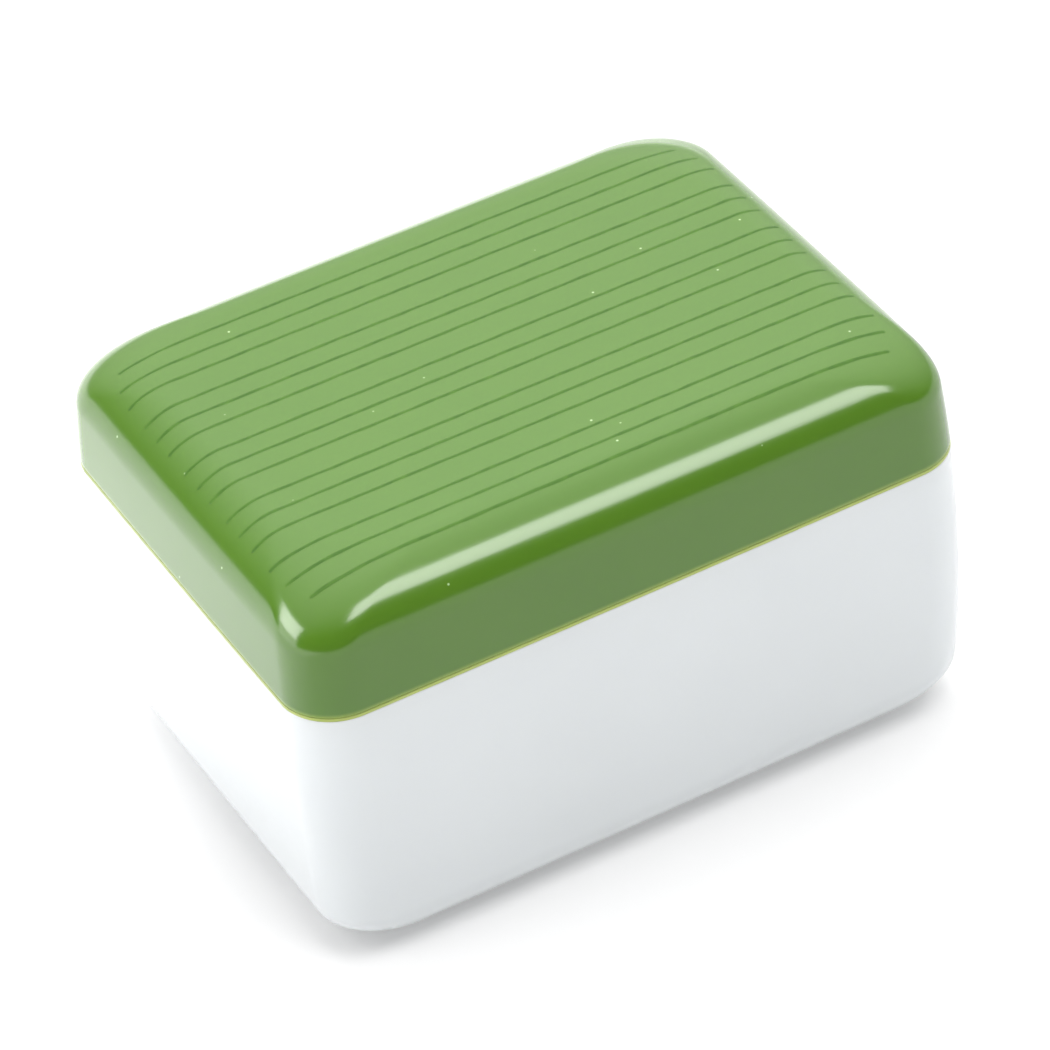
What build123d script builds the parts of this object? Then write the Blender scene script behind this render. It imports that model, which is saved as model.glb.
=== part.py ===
from build123d import *
import math
import os

os.makedirs("parts", exist_ok=True)

# A mahjong tile lying on its face, back upwards: a white face block and a coloured back
# slab, bonded on a flat joint with a magnet sealed between them, and fine lines filled
# with paint across the back. Millimetres, +Z up, X along the length. The origin is the
# centre of the underside.

# Overall size
tile_length = 28.0
tile_depth = 21.0
tile_height = 17.0

# How the height is shared out
back_thickness = 4.78
bond_thickness = 0.12

# Outline
side_crown = 0.45            # the sides lie this much further in at top and bottom than half way up
corner_radius = 2.2          # upright corners, seen from above
back_edge_radius = 2.2       # edge round the coloured back
face_edge_radius = 2.3       # edge round the white face
flat_corner_share = 0.6      # corners of the top and bottom flats, as a share of half their depth

# Magnet and its pocket
magnet_diameter = 10.0
magnet_thickness = 3.0
magnet_chamfer = 0.3
magnet_side_play = 0.1
magnet_top_play = 0.1

# Painted lines
line_groups = 5
lines_per_group = 3
group_gap_ratio = 1.36       # the gap between two groups, in line pitches
line_width = 0.16
line_depth = 0.06
line_edge_margin = 2.72      # long side of the tile to the nearest line
line_end_margin = 1.4        # short side of the tile to the ends of the lines
line_field_margin = 0.9      # long side of the tile to the field that the lines end in
line_field_radius = 4.0      # corners of that field
line_shift = -0.55           # the whole pattern sits a little towards the front
line_side_shift = -0.25      # and a little towards the left

# Levels that follow from these
joint_z = tile_height - back_thickness - bond_thickness
back_z = tile_height - back_thickness

edge_steps = 8               # sections along a rolled edge
side_steps = 6               # sections along a plain stretch of side


def outline(z, skin):
    """Outline of the tile at height z, lying skin inside the surface.

    The corners grow rounder as the edge rolls inwards, up to those of the flat.
    """
    above = z - (tile_height - back_edge_radius)
    below = face_edge_radius - z
    roll = (back_edge_radius if above > 0 else face_edge_radius) - skin
    over = max(0.0, above, below)
    rolled = roll - math.sqrt(max(0.0, roll**2 - over**2))
    half_height = tile_height / 2
    crowned = side_crown * ((z - half_height) / half_height)**2
    inset = rolled + crowned + skin
    flat_half_depth = tile_depth / 2 - roll - side_crown - skin
    flat_corner = flat_corner_share * flat_half_depth
    corner = corner_radius + (flat_corner - corner_radius) * rolled / roll
    shape = RectangleRounded(tile_length - 2 * inset, tile_depth - 2 * inset, corner)
    return Plane.XY.offset(z) * shape


def even_levels(low, high, steps):
    """Heights from low to high in equal steps."""
    return [low + (high - low) * i / steps for i in range(steps + 1)]


def back_edge_levels(skin):
    """Heights up the rolled edge of the back, at equal turns of its arc."""
    roll = back_edge_radius - skin
    start = tile_height - back_edge_radius
    turns = [math.pi / 2 * i / edge_steps for i in range(1, edge_steps + 1)]
    return [start + roll * math.sin(turn) for turn in turns]


def face_edge_levels():
    """Heights up the rolled edge of the face, at equal turns of its arc."""
    turns = [math.pi / 2 * i / edge_steps for i in range(edge_steps)]
    return [face_edge_radius * (1 - math.cos(turn)) for turn in turns]


def body_between(levels, skin=0.0):
    """Solid that passes through the tile's outline at each height."""
    return loft([outline(z, skin).face() for z in levels])


def back_blank(skin=0.0):
    """The coloured slab before its lines are cut, lying skin inside the surface."""
    side = even_levels(back_z, tile_height - back_edge_radius, side_steps)
    return body_between(side + back_edge_levels(skin), skin)


def make_face_block():
    """White block with the magnet's pocket sunk in its joint face."""
    side = even_levels(face_edge_radius, joint_z, side_steps)
    block = body_between(face_edge_levels() + side)
    pocket_depth = magnet_thickness + magnet_top_play
    pocket_radius = magnet_diameter / 2 + magnet_side_play
    pocket = Cylinder(pocket_radius, pocket_depth, align=(Align.CENTER, Align.CENTER, Align.MAX))
    return block - Pos(0, 0, joint_z) * pocket


def make_bond_film():
    """Film of adhesive over the whole joint, flush with the sides."""
    return body_between([joint_z, back_z])


def make_magnet():
    """Round magnet standing on the floor of its pocket."""
    disc = Cylinder(magnet_diameter / 2, magnet_thickness,
                    align=(Align.CENTER, Align.CENTER, Align.MAX))
    disc = chamfer(disc.edges().filter_by(GeomType.CIRCLE), magnet_chamfer)
    return Pos(0, 0, joint_z - magnet_top_play) * disc


def line_places():
    """Y of the middle of each painted line, from the back of the tile to the front."""
    field = tile_depth - 2 * line_edge_margin
    gaps_in_groups = line_groups * (lines_per_group - 1)
    pitch = field / (gaps_in_groups + group_gap_ratio * (line_groups - 1))
    group_pitch = pitch * (lines_per_group - 1 + group_gap_ratio)
    first = field / 2 + line_shift
    return [first - group * group_pitch - line * pitch
            for group in range(line_groups)
            for line in range(lines_per_group)]


def make_line_cutter(y, core):
    """Groove for one line: a strip of the line field, down to the core under the skin."""
    field = RectangleRounded(tile_length - 2 * line_end_margin,
                             tile_depth - 2 * line_field_margin, line_field_radius)
    strip = Pos(0, y - line_shift) * Rectangle(tile_length, line_width)
    prism = extrude(Plane.XY.offset(back_z) * (field & strip), back_thickness + line_depth)
    return Pos(line_side_shift, line_shift, 0) * prism - core


blank = back_blank()
core = back_blank(line_depth)
cutters = [make_line_cutter(y, core) for y in line_places()]
lines = [blank & cutter for cutter in cutters]

pieces = {
    "face_block": make_face_block(),
    "bond_film": make_bond_film(),
    "magnet": make_magnet(),
    "back_slab": blank - cutters,
}
for number, line in enumerate(lines, start=1):
    pieces[f"back_line_{number:02d}"] = line

for name, piece in pieces.items():
    export_step(piece, f"parts/{name}.step")
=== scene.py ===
import bpy
import math
import numpy as np
from mathutils import Matrix, Vector


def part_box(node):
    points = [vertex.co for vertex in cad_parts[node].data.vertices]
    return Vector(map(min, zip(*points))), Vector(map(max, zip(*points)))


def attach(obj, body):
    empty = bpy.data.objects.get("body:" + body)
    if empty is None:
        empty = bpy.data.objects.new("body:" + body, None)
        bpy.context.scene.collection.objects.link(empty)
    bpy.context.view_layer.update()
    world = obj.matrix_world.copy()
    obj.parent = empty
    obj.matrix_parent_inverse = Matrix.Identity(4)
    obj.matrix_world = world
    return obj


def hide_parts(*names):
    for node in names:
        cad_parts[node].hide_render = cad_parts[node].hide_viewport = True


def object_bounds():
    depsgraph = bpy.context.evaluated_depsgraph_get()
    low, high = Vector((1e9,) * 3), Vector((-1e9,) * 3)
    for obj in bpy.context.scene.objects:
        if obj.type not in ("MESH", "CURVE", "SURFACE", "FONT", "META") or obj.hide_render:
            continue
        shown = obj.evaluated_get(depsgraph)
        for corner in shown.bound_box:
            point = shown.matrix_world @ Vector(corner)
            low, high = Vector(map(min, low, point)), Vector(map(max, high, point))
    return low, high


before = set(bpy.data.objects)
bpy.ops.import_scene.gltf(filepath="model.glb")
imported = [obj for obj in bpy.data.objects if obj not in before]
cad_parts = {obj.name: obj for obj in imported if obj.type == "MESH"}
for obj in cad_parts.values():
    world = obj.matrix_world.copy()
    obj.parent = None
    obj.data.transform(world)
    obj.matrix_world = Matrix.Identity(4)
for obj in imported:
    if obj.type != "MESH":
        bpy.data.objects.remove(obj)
cadLow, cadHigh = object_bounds()
print("frame loaded:", len(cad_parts), "nodes")

mm = 0.001
sharpAngle = 40         # degrees between faces from which an edge is shaded sharp

# what the whole tile is shaped by, in mm; the rest comes from the frame's boxes
tile = {
    "sideCrown": 0.45,      # each side is this much further in at top and bottom
    "sideBow": 0.05,        # and this much further in at its two ends
    "cornerRadius": 2.2,    # upright corners
    "backRoll": 2.2,        # rolled edge of the green back
    "faceRoll": 2.3,        # rolled edge of the white face
    "flatCorner": 0.6,      # corners of the flats, as a share of half their depth
    "seamBevel": 0.05,      # edges of both resins at the joint, softened by tumbling
    "paintProud": 0.004,    # how far the enamel stands above the resin
}
tileLength = (cadHigh.x - cadLow.x) / mm
tileDepth = (cadHigh.y - cadLow.y) / mm
tileTop = cadHigh.z / mm - tile["paintProud"]       # the enamel is the highest point
tileMiddle = tileTop / 2
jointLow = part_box("bond_film")[0].z / mm
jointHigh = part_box("bond_film")[1].z / mm


def columnsRound(cornerCuts, longCuts, shortCuts):
    # Places round a rounded rectangle, the same for every height: which corner centre a
    # place hangs on (-1 to 1 each way) and the direction in which the radius leaves it.
    centreX, centreY, angle = [], [], []
    for quarter, (sx, sy) in enumerate([(1, 1), (-1, 1), (-1, -1), (1, -1)]):
        turn = (quarter + np.arange(cornerCuts + 1) / cornerCuts) * math.pi / 2
        centreX.append(np.full(turn.size, float(sx)))
        centreY.append(np.full(turn.size, float(sy)))
        angle.append(turn)
        cuts = longCuts if quarter % 2 == 0 else shortCuts
        along = 1 - 2 * np.arange(1, cuts) / cuts
        centreX.append(along * sx if quarter % 2 == 0 else np.full(along.size, float(sx)))
        centreY.append(np.full(along.size, float(sy)) if quarter % 2 == 0 else along * sy)
        angle.append(np.full(along.size, (quarter + 1) * math.pi / 2))
    return np.concatenate(centreX), np.concatenate(centreY), np.concatenate(angle)


def crownAt(height):
    # a parabola in height: nothing half way up, sideCrown at the top and at the bottom
    return tile["sideCrown"] * ((height - tileMiddle) / tileMiddle) ** 2


def cornerAt(rolled, roll):
    # corner radius grows from the upright corner's to the flat's as the edge rolls in
    flat = tile["flatCorner"] * (tileDepth / 2 - roll - tile["sideCrown"])
    return tile["cornerRadius"] + (flat - tile["cornerRadius"]) * rolled / roll


def tileSurface(height, inset, corner, shrink, rounding, columns, pocketRadius=1.0):
    # Each row is a rounded rectangle, length and depth less twice the inset, with the given
    # corner radius. Shrink draws a row towards the middle, for the flats, and rounding blends
    # it into a circle of pocketRadius. The sides bow: x and y shrink with the square of the
    # other one, by sideBow at the corners. Rows and columns are the two parameters.
    centreX, centreY, angle = columns
    halfLength = (tileLength / 2 - inset)[:, None]
    halfDepth = (tileDepth / 2 - inset)[:, None]
    radius = corner[:, None]
    x = centreX * (halfLength - radius) + radius * np.cos(angle)
    y = centreY * (halfDepth - radius) + radius * np.sin(angle)
    x, y = bowed(x, y)
    direction = np.arctan2(y, x)
    x = x * (1 - rounding[:, None]) + pocketRadius * np.cos(direction) * rounding[:, None]
    y = y * (1 - rounding[:, None]) + pocketRadius * np.sin(direction) * rounding[:, None]
    x, y = x * shrink[:, None], y * shrink[:, None]
    z = np.broadcast_to(height[:, None], x.shape)
    return np.stack([x, y, z], axis=2)


def bowed(x, y):
    # draws each side in towards its two ends, by a parabola along it
    bow = tile["sideBow"]
    xOut = x * (1 - 2 * bow / tileLength * (2 * y / tileDepth) ** 2)
    yOut = y * (1 - 2 * bow / tileDepth * (2 * x / tileLength) ** 2)
    return xOut, yOut


def unbowed(x, y):
    # the inverse of bowed, by three steps of fixed-point iteration
    xIn, yIn = x, y
    for step in range(3):
        xNow, yNow = bowed(xIn, yIn)
        xIn, yIn = xIn + x - xNow, yIn + y - yNow
    return xIn, yIn


def rowsOf(*stretches):
    # joins stretches of rows, each a dictionary of equal arrays or single values
    size = [max(np.size(value) for value in part.values()) for part in stretches]
    names = ("height", "inset", "corner", "shrink", "rounding")
    defaults = {"shrink": 1.0, "rounding": 0.0}
    return [np.concatenate([np.broadcast_to(part.get(name, defaults.get(name)), (count,))
                            for part, count in zip(stretches, size)])
            for name in names]


def meshFromGrid(name, grid, startPole, endPole):
    # Rows run along the first axis and columns go right round, so the last column joins
    # the first. A pole closes each end with a fan of triangles.
    rows, columns = grid.shape[:2]
    points = np.vstack([grid.reshape(-1, 3), startPole, endPole])
    index = np.arange(rows * columns).reshape(rows, columns)
    ahead = np.roll(index, -1, axis=1)
    start, end = np.full(columns, rows * columns), np.full(columns, rows * columns + 1)
    quads = np.stack([index[:-1], ahead[:-1], ahead[1:], index[1:]], axis=2).reshape(-1, 4)
    startFan = np.stack([ahead[0], index[0], start], axis=1)
    endFan = np.stack([index[-1], ahead[-1], end], axis=1)
    faces = quads.tolist() + startFan.tolist() + endFan.tolist()
    mesh = bpy.data.meshes.new(name)
    mesh.from_pydata((points * mm).tolist(), [], faces)
    mesh.validate()
    mesh.shade_smooth()
    mesh.set_sharp_from_angle(angle=math.radians(sharpAngle))
    made = bpy.data.objects.new(name, mesh)
    bpy.context.scene.collection.objects.link(made)
    return made


def centreAt(height):
    # the point on the tile's upright axis at a height, as a pole for a flat
    return np.array([[0.0, 0.0, height]])


def linearColour(hexText):
    # sRGB hex to the linear values that the shader takes
    channel = np.array([int(hexText[i:i + 2], 16) / 255 for i in (1, 3, 5)])
    linear = np.where(channel <= 0.04045, channel / 12.92, ((channel + 0.055) / 1.055) ** 2.4)
    return (*linear.tolist(), 1.0)


# Sockets that share their name with another go by number: those of a colour Mix node, and
# the two values of a Math or Vector Math node.
mixFactor, mixUnder, mixOver, mixResult = 0, 6, 7, 2
firstValue, secondValue = 0, 1


def addNode(tree, kind, settings=None, values=None, links=None):
    # one node with its settings, socket values and links: {socket: (node, output)}
    node = tree.nodes.new(kind)
    for name, value in (settings or {}).items():
        setattr(node, name, value)
    for name, value in (values or {}).items():
        node.inputs[name].default_value = value
    for name, (source, output) in (links or {}).items():
        tree.links.new(source.outputs[output], node.inputs[name])
    return node


def newMaterial(name, shaderValues):
    # a Principled shader with these values, and the object's coordinates for its patterns
    material = bpy.data.materials.new(name)
    material.use_nodes = True
    tree = material.node_tree
    tree.nodes.clear()
    shader = addNode(tree, "ShaderNodeBsdfPrincipled", values=shaderValues)
    addNode(tree, "ShaderNodeOutputMaterial", links={"Surface": (shader, "BSDF")})
    place = addNode(tree, "ShaderNodeTexCoord")
    return material, tree, shader, place


def mottledTone(tree, place, size, detail, colours, stops=(0.0, 1.0)):
    # two close tones that drift into each other over patches of a size in mm
    patch = addNode(tree, "ShaderNodeTexNoise",
                    values={"Scale": 1 / (size * mm), "Detail": detail},
                    links={"Vector": (place, "Object")})
    tone = addNode(tree, "ShaderNodeValToRGB", links={"Fac": (patch, "Fac")})
    for element, stop, colour in zip(tone.color_ramp.elements, stops, colours):
        element.position = stop
        element.color = linearColour(colour)
    return tone


def tumbledSkin(tree, shader, place, look):
    # What tumbling leaves on moulded resin: a fine grain in the gloss and a faint slow
    # ripple. Gives back the ripple's bump.
    grain = addNode(tree, "ShaderNodeTexNoise",
                    values={"Scale": 1 / (look["grainSize"] * mm), "Detail": 3.0},
                    links={"Vector": (place, "Object")})
    rough = addNode(tree, "ShaderNodeMapRange",
                    values={"To Min": look["smoothest"], "To Max": look["roughest"]},
                    links={"Value": (grain, "Fac")})
    tree.links.new(rough.outputs["Result"], shader.inputs["Roughness"])
    ripple = addNode(tree, "ShaderNodeTexNoise",
                     values={"Scale": 1 / (look["rippleSize"] * mm), "Detail": 1.0},
                     links={"Vector": (place, "Object")})
    return addNode(tree, "ShaderNodeBump",
                   values={"Strength": look["rippleStrength"],
                           "Distance": look["rippleDepth"] * mm},
                   links={"Height": (ripple, "Fac")})


def greenMelamine():
    # Melamine resin, compression moulded and tumbled to a gloss: mirror-like over a faint
    # slow ripple, with hairline streaks from lapping and a few specks of dust.
    # Sizes in mm. Speck share is how many of the cells hold a speck, and a speck fades
    # between its inner and outer share of its size.
    look = {
        "cloudSize": 5.0, "grainSize": 0.35,
        "rippleSize": 2.6, "rippleDepth": 0.02, "rippleStrength": 0.35,
        "speckPitch": 0.75, "speckSize": 0.05, "speckShare": 0.28,
        "speckInner": 0.6, "speckOuter": 1.2,
        "streakLength": 7.0, "streakPitch": 0.12, "streakDepth": 0.0012,
        "seamGlowHeight": 0.22,       # height of the paler green over the joint, a painted glow of light coming through the seam
        "smoothest": 0.13, "roughest": 0.19,
    }
    material, tree, shader, place = newMaterial("greenMelamineTumbled", {
        "IOR": 1.6, "Subsurface Weight": 0.12,
        "Subsurface Radius": (0.5 * mm, 0.9 * mm, 0.2 * mm), "Subsurface Scale": 1.0})
    body = mottledTone(tree, place, look["cloudSize"], 2.0, ("#4B7419", "#51791D"))
    split = addNode(tree, "ShaderNodeSeparateXYZ", links={"Vector": (place, "Object")})
    # Painted glow: the green turns a paler yellow-green towards the joint, standing in for light
    # that comes up through the seam from the white resin.
    edge = addNode(tree, "ShaderNodeMapRange", {"interpolation_type": "SMOOTHSTEP"},
                   {"From Min": jointHigh * mm, "From Max": (jointHigh + look["seamGlowHeight"]) * mm,
                    "To Min": 1.0, "To Max": 0.0}, {"Value": (split, "Z")})
    bodyAndSeamGlow = addNode(tree, "ShaderNodeMix", {"data_type": "RGBA"},
                     {mixOver: linearColour("#869F3A")},
                     {mixFactor: (edge, "Result"), mixUnder: (body, "Color")})
    cells = addNode(tree, "ShaderNodeTexVoronoi", values={"Scale": 1 / (look["speckPitch"] * mm)},
                    links={"Vector": (place, "Object")})
    near = addNode(tree, "ShaderNodeMapRange", values={
        "From Min": look["speckInner"] * look["speckSize"] / look["speckPitch"],
        "From Max": look["speckOuter"] * look["speckSize"] / look["speckPitch"],
        "To Min": 1.0, "To Max": 0.0}, links={"Value": (cells, "Distance")})
    some = addNode(tree, "ShaderNodeMath", {"operation": "GREATER_THAN"},
                   {secondValue: 1 - look["speckShare"]},
                   {firstValue: (cells, "Color")})
    dust = addNode(tree, "ShaderNodeMath", {"operation": "MULTIPLY"},
                   links={firstValue: (near, "Result"), secondValue: (some, "Value")})
    dusted = addNode(tree, "ShaderNodeMix", {"data_type": "RGBA"},
                     {mixOver: linearColour("#B4CF96")},
                     {mixFactor: (dust, "Value"), mixUnder: (bodyAndSeamGlow, mixResult)})
    tree.links.new(dusted.outputs[mixResult], shader.inputs["Base Color"])
    bump = tumbledSkin(tree, shader, place, look)
    stretch = addNode(tree, "ShaderNodeMapping", values={"Scale": (
        1 / (look["streakLength"] * mm), 1 / (look["streakPitch"] * mm),
        1 / (look["streakPitch"] * mm))}, links={"Vector": (place, "Object")})
    streak = addNode(tree, "ShaderNodeTexNoise", values={"Scale": 1.0, "Detail": 2.0},
                     links={"Vector": (stretch, "Vector")})
    lapped = addNode(tree, "ShaderNodeBump", values={"Distance": look["streakDepth"] * mm},
                     links={"Height": (streak, "Fac"), "Normal": (bump, "Normal")})
    tree.links.new(lapped.outputs["Normal"], shader.inputs["Normal"])
    return material


def whiteMelamine():
    # The same resin, filled white: a cool, slightly milky white, glossy, that lets a little
    # light in at its edges, with the same slow ripple and fine grain from tumbling.
    # Sizes in mm.
    look = {"cloudSize": 6.0, "grainSize": 0.35, "smoothest": 0.12, "roughest": 0.2,
            "rippleSize": 2.6, "rippleDepth": 0.02, "rippleStrength": 0.35}
    material, tree, shader, place = newMaterial("whiteMelamineTumbled", {
        "IOR": 1.6, "Subsurface Weight": 0.35,
        "Subsurface Radius": (1.2 * mm, 1.2 * mm, 1.3 * mm), "Subsurface Scale": 1.0})
    body = mottledTone(tree, place, look["cloudSize"], 2.0, ("#DBDFE1", "#E0E4E6"))
    tree.links.new(body.outputs["Color"], shader.inputs["Base Color"])
    bump = tumbledSkin(tree, shader, place, look)
    tree.links.new(bump.outputs["Normal"], shader.inputs["Normal"])
    return material


def adhesiveGlowPainted():
    # Clear adhesive cured between the resins. Its yellow-green is painted glow: light coming
    # through the seam, put into the base colour.
    patchSize = 0.8     # mm
    material, tree, shader, place = newMaterial("adhesiveGlowPainted", {"Roughness": 0.3, "IOR": 1.5})
    # painted glow: a yellowish green in patches, standing in for light coming through the seam
    tone = mottledTone(tree, place, patchSize, 3.0, ("#9DAE4E", "#B0BD66"))
    tree.links.new(tone.outputs["Color"], shader.inputs["Base Color"])
    return material


def lineEnamel():
    # Enamel wiped into fine grooves and levelled: dark green, thinner in places.
    patchSize = 0.5     # mm
    thickBelow, thinAbove = 0.35, 0.7       # of the noise
    material, tree, shader, place = newMaterial("lineEnamel", {
        "Roughness": 0.4, "IOR": 1.5, "Specular IOR Level": 0.25})
    tone = mottledTone(tree, place, patchSize, 3.0, ("#3A6216", "#48701E"),
                       stops=(thickBelow, thinAbove))
    tree.links.new(tone.outputs["Color"], shader.inputs["Base Color"])
    return material


def sinteredFerrite():
    # Pressed and sintered ferrite: charcoal grey, matt, with a fine crystalline speckle.
    gritSize = 0.25     # mm
    material, tree, shader, place = newMaterial("sinteredFerrite", {"Roughness": 0.55, "IOR": 1.5})
    grit = addNode(tree, "ShaderNodeTexVoronoi", values={"Scale": 1 / (gritSize * mm)},
                   links={"Vector": (place, "Object")})
    tone = addNode(tree, "ShaderNodeValToRGB", links={"Fac": (grit, "Distance")})
    tone.color_ramp.elements[0].color = linearColour("#2B2C2F")
    tone.color_ramp.elements[1].color = linearColour("#45464A")
    tree.links.new(tone.outputs["Color"], shader.inputs["Base Color"])
    return material


def opalAcrylic():
    # An opal acrylic sheet lit faintly from below, more towards the far left, which keeps
    # the shadows short. The glow goes by Y less X, from near to far between two values in mm.
    glow = {"near": 0.25, "far": 1.0, "fadeStart": 10.0, "fadeEnd": 45.0}
    material, tree, shader, place = newMaterial("opalAcrylic", {
        "Roughness": 0.9, "Base Color": linearColour("#C6C6C6"),
        "Emission Color": linearColour("#FFFFFF")})
    split = addNode(tree, "ShaderNodeSeparateXYZ", links={"Vector": (place, "Object")})
    apart = addNode(tree, "ShaderNodeMath", {"operation": "SUBTRACT"},
                    links={firstValue: (split, "Y"), secondValue: (split, "X")})
    fade = addNode(tree, "ShaderNodeMapRange", {"interpolation_type": "SMOOTHSTEP"},
                   {"From Min": glow["fadeStart"] * mm, "From Max": glow["fadeEnd"] * mm,
                    "To Min": glow["near"], "To Max": glow["far"]}, {"Value": (apart, "Value")})
    tree.links.new(fade.outputs["Result"], shader.inputs["Emission Strength"])
    return material


def finishPiece(piece, material, node):
    # gives a piece its material and its place in the frame, where it stands for one node
    piece.data.materials.clear()
    piece.data.materials.append(material)
    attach(piece, "root")
    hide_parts(node)


def backSlab(material):
    # From the middle of the joint face out to its edge, round the seam bevel, up the
    # crowned side, over the rolled edge in a quarter circle and in across the top.
    # The two flats run between shares of their full size, and a fan closes their middle.
    sizes = {"cornerCuts": 22, "longCuts": 56, "shortCuts": 42, "rollRows": 44,
             "sideRows": 16, "bevelRows": 4, "flatRows": 22, "jointRows": 6,
             "flatEdge": 0.98, "jointMiddle": 0.1, "topMiddle": 0.04}
    bevel, roll = tile["seamBevel"], tile["backRoll"]
    turn = np.linspace(0, math.pi / 2, sizes["bevelRows"] + 1)
    bevelHeight = jointHigh + bevel * (1 - np.cos(turn))
    bevelIn = bevel * (1 - np.sin(turn))
    sideHeight = np.linspace(jointHigh + bevel, tileTop - roll, sizes["sideRows"])[1:-1]
    rollTurn = np.linspace(0, math.pi / 2, sizes["rollRows"] + 1)
    rollHeight = tileTop - roll + roll * np.sin(rollTurn)
    rolled = roll * (1 - np.cos(rollTurn))
    edgeIn = bevel + crownAt(jointHigh)
    flatIn = roll + crownAt(tileTop)
    rows = rowsOf(
        {"height": jointHigh, "inset": edgeIn, "corner": tile["cornerRadius"] - bevel,
         "shrink": np.linspace(sizes["jointMiddle"], sizes["flatEdge"], sizes["jointRows"])},
        {"height": bevelHeight, "inset": bevelIn + crownAt(bevelHeight),
         "corner": tile["cornerRadius"] - bevelIn},
        {"height": sideHeight, "inset": crownAt(sideHeight), "corner": tile["cornerRadius"]},
        {"height": rollHeight, "inset": rolled + crownAt(rollHeight),
         "corner": cornerAt(rolled, roll)},
        {"height": tileTop, "inset": flatIn, "corner": cornerAt(roll, roll),
         "shrink": np.linspace(sizes["flatEdge"], sizes["topMiddle"], sizes["flatRows"])})
    columns = columnsRound(sizes["cornerCuts"], sizes["longCuts"], sizes["shortCuts"])
    grid = tileSurface(*rows, columns)
    slab = meshFromGrid("greenBack", grid, centreAt(jointHigh), centreAt(tileTop))
    finishPiece(slab, material, "back_slab")


def faceBlock(material):
    # From the middle of the underside out, round the rolled edge, up the crowned side,
    # round the seam bevel, in across the joint face while the outline turns into a circle,
    # down the magnet's pocket, round its fillet and in across its floor.
    sizes = {"cornerCuts": 22, "longCuts": 56, "shortCuts": 42, "rollRows": 40,
             "sideRows": 34, "bevelRows": 4, "flatRows": 14, "flatMiddle": 0.06,
             "flatEdge": 0.98, "jointRows": 8, "jointEdge": 0.05, "wallRows": 6,
             "pocketPlay": 0.1, "pocketFillet": 0.25, "filletRows": 5, "floorRows": 5,
             "floorEdge": 0.85, "floorMiddle": 0.1}
    bevel, roll = tile["seamBevel"], tile["faceRoll"]
    magnetLow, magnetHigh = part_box("magnet")
    pocketRadius = (magnetHigh.x - magnetLow.x) / 2 / mm + sizes["pocketPlay"]
    pocketFloor = magnetLow.z / mm
    rollTurn = np.linspace(0, math.pi / 2, sizes["rollRows"] + 1)
    rollHeight = roll * (1 - np.cos(rollTurn))
    rolled = roll * (1 - np.sin(rollTurn))
    turn = np.linspace(0, math.pi / 2, sizes["bevelRows"] + 1)
    bevelHeight = jointLow - bevel * (1 - np.sin(turn))
    bevelIn = bevel * (1 - np.cos(turn))
    sideHeight = np.linspace(roll, jointLow - bevel, sizes["sideRows"])[1:-1]
    edgeIn = bevel + crownAt(jointLow)
    edgeCorner = tile["cornerRadius"] - bevel
    joint = {"height": jointLow, "inset": edgeIn, "corner": edgeCorner}
    fillet = sizes["pocketFillet"]
    filletTurn = np.linspace(0, math.pi / 2, sizes["filletRows"])[1:]
    wallHeight = np.linspace(jointLow, pocketFloor + fillet, sizes["wallRows"])[1:]
    rows = rowsOf(
        {"height": 0.0, "inset": roll + crownAt(0.0), "corner": cornerAt(roll, roll),
         "shrink": np.linspace(sizes["flatMiddle"], sizes["flatEdge"], sizes["flatRows"])},
        {"height": rollHeight, "inset": rolled + crownAt(rollHeight),
         "corner": cornerAt(rolled, roll)},
        {"height": sideHeight, "inset": crownAt(sideHeight), "corner": tile["cornerRadius"]},
        {"height": bevelHeight, "inset": bevelIn + crownAt(bevelHeight),
         "corner": tile["cornerRadius"] - bevelIn},
        {**joint, "rounding": np.linspace(sizes["jointEdge"], 1.0, sizes["jointRows"])},
        {**joint, "rounding": 1.0, "height": wallHeight},
        {**joint, "rounding": 1.0,
         "height": pocketFloor + fillet * (1 - np.sin(filletTurn)),
         "shrink": 1 - fillet / pocketRadius * (1 - np.cos(filletTurn))},
        {**joint, "rounding": 1.0, "height": pocketFloor,
         "shrink": np.linspace(sizes["floorEdge"], sizes["floorMiddle"], sizes["floorRows"])})
    columns = columnsRound(sizes["cornerCuts"], sizes["longCuts"], sizes["shortCuts"])
    grid = tileSurface(*rows, columns, pocketRadius)
    block = meshFromGrid("whiteFace", grid, centreAt(0.0), centreAt(pocketFloor))
    finishPiece(block, material, "face_block")


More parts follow.
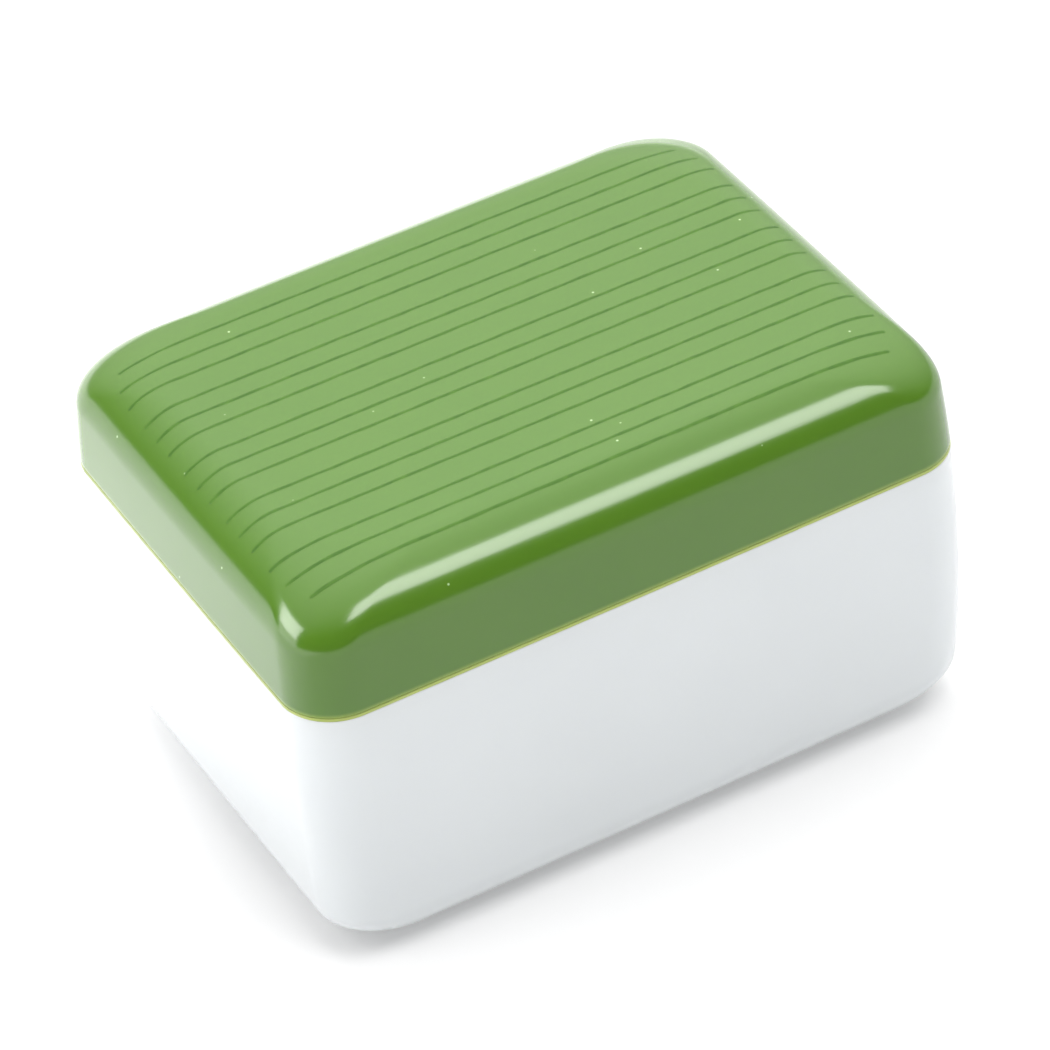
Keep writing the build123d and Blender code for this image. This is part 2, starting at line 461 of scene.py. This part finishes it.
def bondFilm(material):
    # A thin sheet between the resins. Its rim is a shallow meniscus: a half circle drawn
    # inwards, whose depth wanders a little along the seam as a sum of sines.
    sizes = {"cornerCuts": 22, "longCuts": 120, "shortCuts": 90, "meniscus": 0.012,
             "wander": 0.006, "clear": 0.001, "rimRows": 7, "sheetRows": 5,
             "sheetMiddle": 0.15, "sheetEdge": 0.99}
    waves = {23: 0, 57: 1, 91: 2}       # waves all the way round, and where each starts
    turn = np.linspace(0, math.pi, sizes["rimRows"])
    sheet = np.linspace(sizes["sheetMiddle"], sizes["sheetEdge"], sizes["sheetRows"])
    low, high = jointLow + sizes["clear"], jointHigh - sizes["clear"]
    rimHeight = (low + high) / 2 - (high - low) / 2 * np.cos(turn)
    rimIn = sizes["meniscus"] * np.sin(turn)
    corner = tile["cornerRadius"]
    rows = rowsOf(
        {"height": low, "inset": crownAt(low), "corner": corner, "shrink": sheet},
        {"height": rimHeight, "inset": rimIn + crownAt(rimHeight), "corner": corner - rimIn},
        {"height": high, "inset": crownAt(high), "corner": corner, "shrink": sheet[::-1]})
    columns = columnsRound(sizes["cornerCuts"], sizes["longCuts"], sizes["shortCuts"])
    grid = tileSurface(*rows, columns)
    bearing = np.arctan2(grid[:, :, 1], grid[:, :, 0])
    wander = sum(np.sin(count * bearing + start) for count, start in waves.items())
    grid[:, :, :2] *= 1 - (sizes["wander"] * (3 + wander) / 6 / tileLength)[:, :, None]
    film = meshFromGrid("seamAdhesive", grid, centreAt(low), centreAt(high))
    finishPiece(film, material, "bond_film")


def outlineDistance(x, y, turn):
    # signed distance to the rounded rectangle at a turn of the back's rolled edge
    roll = tile["backRoll"]
    rolled = roll * (1 - np.cos(turn))
    inset = rolled + crownAt(tileTop - roll + roll * np.sin(turn))
    corner = cornerAt(rolled, roll)
    outX = np.abs(x) - (tileLength / 2 - inset - corner)
    outY = np.abs(y) - (tileDepth / 2 - inset - corner)
    outside = np.hypot(np.maximum(outX, 0), np.maximum(outY, 0))
    return outside + np.minimum(np.maximum(outX, outY), 0) - corner


def backHeight(x, y):
    # Height of the green back over a place. The turn of the rolled edge whose outline
    # passes through the place is found by halving a quarter circle again and again.
    halvings = 30
    x, y = unbowed(x, y)
    low, high = np.zeros_like(x), np.full_like(x, math.pi / 2)
    for step in range(halvings):
        middle = (low + high) / 2
        inside = outlineDistance(x, y, middle) <= 0
        low, high = np.where(inside, middle, low), np.where(inside, high, middle)
    roll = tile["backRoll"]
    return tileTop - roll + roll * np.sin(low)


def paintedLine(number, material):
    # A ribbon carried along X. Across it the top is a low arch over the resin and the
    # underside lies in the groove. Width and path wander as sums of sines, and the ends
    # are round: the width falls as a quarter circle over the last half width.
    sizes = {"width": 0.155, "depth": 0.05, "cuts": 420, "across": 5,
             "widthWander": 0.01, "widthWaves": (2.1, 5.3),
             "pathWander": 0.012, "pathWaves": (1.3, 3.7), "phaseStep": 1.7}
    node = f"back_line_{number:02d}"
    low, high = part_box(node)
    startX, endX = low.x / mm, high.x / mm
    middleY = (low.y + high.y) / 2 / mm
    half = sizes["width"] / 2
    share = (1 - np.cos(np.linspace(0, math.pi, sizes["cuts"] + 1)[1:-1])) / 2
    x = (startX + (endX - startX) * share)[:, None]
    fromEnd = np.minimum(x - startX, endX - x)
    ended = np.sqrt(1 - np.clip(1 - fromEnd / half, 0, 1) ** 2)
    phase = sizes["phaseStep"] * number
    slow, quick = sizes["widthWaves"]
    wide = half + sizes["widthWander"] * (np.sin(slow * x + phase)
                                          + np.sin(quick * x - phase)) / 2
    slow, quick = sizes["pathWaves"]
    path = middleY + sizes["pathWander"] * (np.sin(slow * x + 2 * phase)
                                            + np.sin(quick * x + phase)) / 2
    across = np.linspace(1, -1, sizes["across"])[None, :]
    overY = path + wide * ended * across
    overZ = backHeight(np.broadcast_to(x, overY.shape), overY)
    overZ = overZ + tile["paintProud"] * (1 - across ** 2)
    underY = overY[:, ::-1]
    underZ = overZ[:, ::-1] - sizes["depth"] * ended
    loopY = np.concatenate([overY, underY], axis=1)
    loopZ = np.concatenate([overZ, underZ], axis=1)
    loopX = np.broadcast_to(x, loopY.shape)
    grid = np.stack([loopX, loopY, loopZ], axis=2)
    endsX = np.array([startX, endX])
    endsY = np.array([path[0, 0], path[-1, 0]])
    endsZ = backHeight(endsX, endsY) - sizes["depth"] / 2
    line = meshFromGrid(f"backLine{number:02d}", grid,
                        [[endsX[0], endsY[0], endsZ[0]]], [[endsX[1], endsY[1], endsZ[1]]])
    finishPiece(line, material, node)


def placeCamera():
    # From above and in front on the left, far off through a long lens. Distance and aim
    # are in mm, the aim from the middle of the tile.
    view = {"azimuth": -24.87, "elevation": 38.46, "roll": 6.73, "distance": 204.22,
            "lens": 184.73, "aim": (0.147, -0.127, -0.067)}
    a, e = math.radians(view["azimuth"]), math.radians(view["elevation"])
    back = Vector((math.sin(a) * math.cos(e), -math.cos(a) * math.cos(e), math.sin(e)))
    right = Vector((math.cos(a), math.sin(a), 0))
    up = back.cross(right)
    turned = Matrix((right, up, back)).transposed() @ Matrix.Rotation(
        math.radians(-view["roll"]), 3, "Z")
    data = bpy.data.cameras.new("camera")
    data.lens, data.sensor_width = view["lens"], 36
    data.clip_start, data.clip_end = 0.01, 10
    camera = bpy.data.objects.new("camera", data)
    bpy.context.scene.collection.objects.link(camera)
    aim = (cadLow + cadHigh) / 2 + Vector(view["aim"]) * mm
    camera.matrix_world = Matrix.Translation(aim + back * view["distance"] * mm) @ turned.to_4x4()
    bpy.context.scene.camera = camera


def panelLight(name, over, width, height, turned, radiance, mirrored=True, diffused=True):
    # A flat panel of even brightness. Over is where its centre hangs, in metres from the
    # middle of the tile, and it faces the tile, its long side turned about that line. A
    # panel may be left out of mirror reflections or out of the diffuse light.
    data = bpy.data.lights.new(name, "AREA")
    data.shape = "RECTANGLE"
    data.size, data.size_y = width, height
    data.energy = radiance * math.pi * width * height
    panel = bpy.data.objects.new(name, data)
    panel.visible_glossy = mirrored
    panel.visible_diffuse = diffused
    bpy.context.scene.collection.objects.link(panel)
    facing = Vector(over).to_track_quat("Z", "Y").to_matrix()
    spin = Matrix.Rotation(math.radians(turned), 3, "Z")
    middle = (cadLow + cadHigh) / 2
    panel.matrix_world = Matrix.Translation(middle + Vector(over)) @ (facing @ spin).to_4x4()


def lightStudio():
    # An overhead panel, whose mirror image is the long highlight, and a window with a lit
    # wall under it on the left. The fills light the diffuse part from above, from behind
    # and from the left. The room is bright overhead and behind and dim in front.
    panelLight("overheadPanel", over=(0.178, -0.446, 0.60), width=0.56, height=0.285,
               turned=-37, radiance=7.7, diffused=False)
    panelLight("leftWindow", over=(-0.245, 0.05, 0.135), width=0.15, height=0.13,
               turned=0, radiance=8.6, diffused=False)
    panelLight("leftWall", over=(-0.27, 0.055, 0.035), width=0.165, height=0.075,
               turned=0, radiance=3.0)
    panelLight("topFill", over=(0.10, -0.25, 0.62), width=0.3, height=0.3,
               turned=0, radiance=8.2, mirrored=False)
    panelLight("rearFill", over=(0.05, 0.25, 0.60), width=0.3, height=0.3,
               turned=0, radiance=4.2, mirrored=False)
    panelLight("leftFill", over=(-0.25, 0.0, 0.30), width=0.2, height=0.2,
               turned=0, radiance=3.2, mirrored=False)
    world = bpy.data.worlds.new("room")
    world.use_nodes = True
    tree = world.node_tree
    sky = tree.nodes["Background"]
    sky.inputs["Color"].default_value = linearColour("#FFFFFF")
    place = addNode(tree, "ShaderNodeTexCoord")
    # The room fades with the cosine of the angle from its bright way. Reach is the value at
    # which it would be at its full brightness, over 1, so that it levels off nowhere.
    room = {"azimuth": 145, "elevation": 59, "dim": 0.12, "bright": 3.1, "reach": 1.78}
    a, e = math.radians(room["azimuth"]), math.radians(room["elevation"])
    brightWay = (math.sin(a) * math.cos(e), -math.cos(a) * math.cos(e), math.sin(e))
    toward = addNode(tree, "ShaderNodeVectorMath", {"operation": "DOT_PRODUCT"},
                     {secondValue: brightWay}, {firstValue: (place, "Generated")})
    fade = addNode(tree, "ShaderNodeMapRange", {"interpolation_type": "SMOOTHSTEP"},
                   {"From Min": 0.0, "From Max": room["reach"],
                    "To Min": room["dim"], "To Max": room["bright"]},
                   {"Value": (toward, "Value")})
    tree.links.new(fade.outputs["Result"], sky.inputs["Strength"])
    bpy.context.scene.world = world
    bpy.context.scene.view_settings.view_transform = "Standard"


def layFloor():
    size = 3.0          # metres from the middle to each edge
    mesh = bpy.data.meshes.new("sweepFloor")
    corners = [(-size, -size), (size, -size), (size, size), (-size, size)]
    mesh.from_pydata([(x, y, cadLow.z) for x, y in corners], [], [(0, 1, 2, 3)])
    floor = bpy.data.objects.new("sweepFloor", mesh)
    mesh.materials.append(opalAcrylic())
    bpy.context.scene.collection.objects.link(floor)


placeCamera()
print("camera placed")
backSlab(greenMelamine())
faceBlock(whiteMelamine())
bondFilm(adhesiveGlowPainted())
enamel = lineEnamel()
lineNodes = [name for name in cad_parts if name.startswith("back_line_")]
for number in range(1, len(lineNodes) + 1):
    paintedLine(number, enamel)
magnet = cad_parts["magnet"]
magnet.data.materials.clear()
magnet.data.materials.append(sinteredFerrite())
layFloor()
lightStudio()
print("studio lit")
